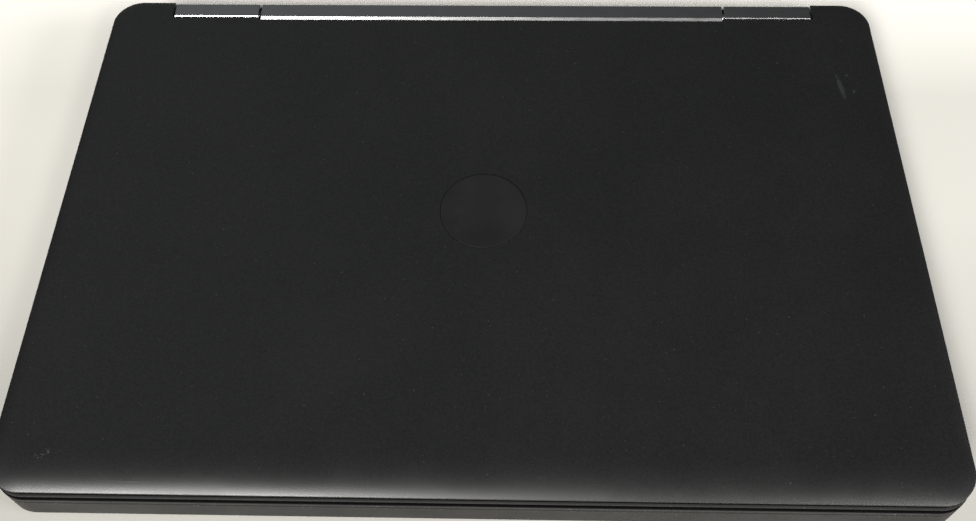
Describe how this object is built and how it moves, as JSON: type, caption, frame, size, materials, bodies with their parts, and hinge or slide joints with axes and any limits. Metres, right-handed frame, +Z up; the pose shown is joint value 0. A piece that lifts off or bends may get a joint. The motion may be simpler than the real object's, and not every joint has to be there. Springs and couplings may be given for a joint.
{
  "type": "laptop computer",
  "caption": "Closed laptop computer with a lid on a silver hinge strip, travelling keys and buttons, a touchpad, a slide-out battery and a disc tray.",
  "frame": {"origin": "on the table, under the middle of the laptop's outline", "axes": "+X towards the user's right along the long side, +Y towards the hinge, +Z up"},
  "size_m": [0.379, 0.2504, 0.03],
  "materials": {
    "lid_paint": "fine matte texture, near-black",
    "shell_plastic": "fine spark-eroded grain, near-black",
    "deck_plastic": "soft-touch matte, near-black",
    "silver_trim": "satin silver",
    "badge": "satin black disc, no marking",
    "screen": "anti-glare dark panel",
    "key_plastic": "satin black",
    "rubber": "matte black",
    "steel": "bright plated",
    "light_alloy": "brushed",
    "copper": "dull copper",
    "circuit_board": "green solder mask",
    "battery_plastic": "fine grain, near-black",
    "inner_plastic": "moulded black"
  },
  "bodies": {
    "base": {"bottom_case": "shell_plastic", "top_case": "deck_plastic", "access_cover": "shell_plastic", "left_hinge_cap": "silver_trim", "right_hinge_cap": "silver_trim", "left_hinge_mount": "steel", "right_hinge_mount": "steel", "keyboard_plate": "light_alloy", "touchpad": "deck_plastic", "motherboard": "circuit_board", "network_socket": "steel", "heatsink": "copper", "fan_housing": "inner_plastic", "optical_drive_case": "steel", "hard_drive": "light_alloy", "memory_module": "circuit_board", "audio_board": "circuit_board", "left_speaker": "inner_plastic", "right_speaker": "inner_plastic", "left_cover_screw": "steel", "right_cover_screw": "steel", "front_left_foot": "rubber", "front_right_foot": "rubber", "rear_left_foot": "rubber", "rear_right_foot": "rubber"},
    "lid": {"lid_cover": "lid_paint", "lid_badge": "badge", "screen_bezel": "shell_plastic", "lcd_panel": "screen", "webcam_module": "circuit_board", "hinge_barrel": "silver_trim", "left_hinge_arm": "steel", "right_hinge_arm": "steel"},
    "touchpad_left_button": {"touchpad_left_button": "key_plastic"},
    "touchpad_right_button": {"touchpad_right_button": "key_plastic"},
    "power_button": {"power_button": "silver_trim"},
    "volume_down_button": {"volume_down_button": "key_plastic"},
    "volume_up_button": {"volume_up_button": "key_plastic"},
    "mute_button": {"mute_button": "key_plastic"},
    "battery_pack": {"battery_pack": "battery_plastic"},
    "battery_latch": {"battery_latch": "inner_plastic"},
    "fan_rotor": {"fan_rotor": "inner_plastic"},
    "optical_tray": {"optical_tray": "inner_plastic"},
    "eject_button": {"eject_button": "key_plastic"},
    "function_keys": {"function_keys": "key_plastic"},
    "number_keys": {"number_keys": "key_plastic"},
    "backspace_key": {"backspace_key": "key_plastic"},
    "tab_key": {"tab_key": "key_plastic"},
    "upper_letter_keys": {"upper_letter_keys": "key_plastic"},
    "caps_lock_key": {"caps_lock_key": "key_plastic"},
    "home_letter_keys": {"home_letter_keys": "key_plastic"},
    "enter_key": {"enter_key": "key_plastic"},
    "left_shift_key": {"left_shift_key": "key_plastic"},
    "lower_letter_keys": {"lower_letter_keys": "key_plastic"},
    "right_shift_key": {"right_shift_key": "key_plastic"},
    "left_modifier_keys": {"left_modifier_keys": "key_plastic"},
    "space_bar": {"space_bar": "key_plastic"},
    "right_modifier_keys": {"right_modifier_keys": "key_plastic"},
    "arrow_keys": {"arrow_keys": "key_plastic"},
    "numeric_pad_keys": {"numeric_pad_keys": "key_plastic"}
  },
  "joints": [
    {"name": "lid_hinge", "type": "hinge", "parent": "base", "child": "lid", "pos_m": [0, 0.12035, 0.0243], "axis": [-1, 0, 0], "range_deg": [0, 135]},
    {"name": "battery_slide", "type": "slide", "parent": "base", "child": "battery_pack", "axis": [0, 1, 0], "range_m": [0, 0.06]},
    {"name": "battery_latch_slide", "type": "slide", "parent": "base", "child": "battery_latch", "axis": [1, 0, 0], "range_m": [0, 0.006], "stiffness_N_per_m": 150, "springref_m": -0.002},
    {"name": "fan_spin", "type": "hinge", "parent": "base", "child": "fan_rotor", "pos_m": [-0.146, 0.036, 0.01], "axis": [0, 0, 1], "continuous": true},
    {"name": "tray_slide", "type": "slide", "parent": "base", "child": "optical_tray", "axis": [1, 0, 0], "range_m": [0, 0.12]},
    {"name": "eject_press", "type": "slide", "parent": "optical_tray", "child": "eject_button", "axis": [-1, 0, 0], "range_m": [0, 0.0008], "stiffness_N_per_m": 400, "springref_m": -0.0005},
    {"name": "power_press", "type": "slide", "parent": "base", "child": "power_button", "axis": [0, 0, -1], "range_m": [0, 0.0008], "stiffness_N_per_m": 900, "springref_m": -0.0005},
    {"name": "volume_down_press", "type": "slide", "parent": "base", "child": "volume_down_button", "axis": [0, 0, -1], "range_m": [0, 0.0008], "stiffness_N_per_m": 500, "springref_m": -0.0005},
    {"name": "volume_up_press", "type": "slide", "parent": "base", "child": "volume_up_button", "axis": [0, 0, -1], "range_m": [0, 0.0008], "stiffness_N_per_m": 500, "springref_m": -0.0005},
    {"name": "mute_press", "type": "slide", "parent": "base", "child": "mute_button", "axis": [0, 0, -1], "range_m": [0, 0.0008], "stiffness_N_per_m": 500, "springref_m": -0.0005},
    {"name": "touchpad_left_press", "type": "slide", "parent": "base", "child": "touchpad_left_button", "axis": [0, 0, -1], "range_m": [0, 0.0008], "stiffness_N_per_m": 700, "springref_m": -0.0005},
    {"name": "touchpad_right_press", "type": "slide", "parent": "base", "child": "touchpad_right_button", "axis": [0, 0, -1], "range_m": [0, 0.0008], "stiffness_N_per_m": 700, "springref_m": -0.0005},
    {"name": "function_travel", "type": "slide", "parent": "base", "child": "function_keys", "axis": [0, 0, -1], "range_m": [0, 0.0022], "stiffness_N_per_m": 4000, "springref_m": -0.001},
    {"name": "number_travel", "type": "slide", "parent": "base", "child": "number_keys", "axis": [0, 0, -1], "range_m": [0, 0.0022], "stiffness_N_per_m": 3250, "springref_m": -0.001},
    {"name": "backspace_travel", "type": "slide", "parent": "base", "child": "backspace_key", "axis": [0, 0, -1], "range_m": [0, 0.0022], "stiffness_N_per_m": 250, "springref_m": -0.001},
    {"name": "tab_travel", "type": "slide", "parent": "base", "child": "tab_key", "axis": [0, 0, -1], "range_m": [0, 0.0022], "stiffness_N_per_m": 250, "springref_m": -0.001},
    {"name": "upper_letter_travel", "type": "slide", "parent": "base", "child": "upper_letter_keys", "axis": [0, 0, -1], "range_m": [0, 0.0022], "stiffness_N_per_m": 3250, "springref_m": -0.001},
    {"name": "caps_lock_travel", "type": "slide", "parent": "base", "child": "caps_lock_key", "axis": [0, 0, -1], "range_m": [0, 0.0022], "stiffness_N_per_m": 250, "springref_m": -0.001},
    {"name": "home_letter_travel", "type": "slide", "parent": "base", "child": "home_letter_keys", "axis": [0, 0, -1], "range_m": [0, 0.0022], "stiffness_N_per_m": 2750, "springref_m": -0.001},
    {"name": "enter_travel", "type": "slide", "parent": "base", "child": "enter_key", "axis": [0, 0, -1], "range_m": [0, 0.0022], "stiffness_N_per_m": 250, "springref_m": -0.001},
    {"name": "left_shift_travel", "type": "slide", "parent": "base", "child": "left_shift_key", "axis": [0, 0, -1], "range_m": [0, 0.0022], "stiffness_N_per_m": 250, "springref_m": -0.001},
    {"name": "lower_letter_travel", "type": "slide", "parent": "base", "child": "lower_letter_keys", "axis": [0, 0, -1], "range_m": [0, 0.0022], "stiffness_N_per_m": 2500, "springref_m": -0.001},
    {"name": "right_shift_travel", "type": "slide", "parent": "base", "child": "right_shift_key", "axis": [0, 0, -1], "range_m": [0, 0.0022], "stiffness_N_per_m": 250, "springref_m": -0.001},
    {"name": "left_modifier_travel", "type": "slide", "parent": "base", "child": "left_modifier_keys", "axis": [0, 0, -1], "range_m": [0, 0.0022], "stiffness_N_per_m": 1000, "springref_m": -0.001},
    {"name": "space_bar_travel", "type": "slide", "parent": "base", "child": "space_bar", "axis": [0, 0, -1], "range_m": [0, 0.0022], "stiffness_N_per_m": 250, "springref_m": -0.001},
    {"name": "right_modifier_travel", "type": "slide", "parent": "base", "child": "right_modifier_keys", "axis": [0, 0, -1], "range_m": [0, 0.0022], "stiffness_N_per_m": 500, "springref_m": -0.001},
    {"name": "arrow_travel", "type": "slide", "parent": "base", "child": "arrow_keys", "axis": [0, 0, -1], "range_m": [0, 0.0022], "stiffness_N_per_m": 1000, "springref_m": -0.001},
    {"name": "numeric_pad_travel", "type": "slide", "parent": "base", "child": "numeric_pad_keys", "axis": [0, 0, -1], "range_m": [0, 0.0022], "stiffness_N_per_m": 5250, "springref_m": -0.001}
  ]
}
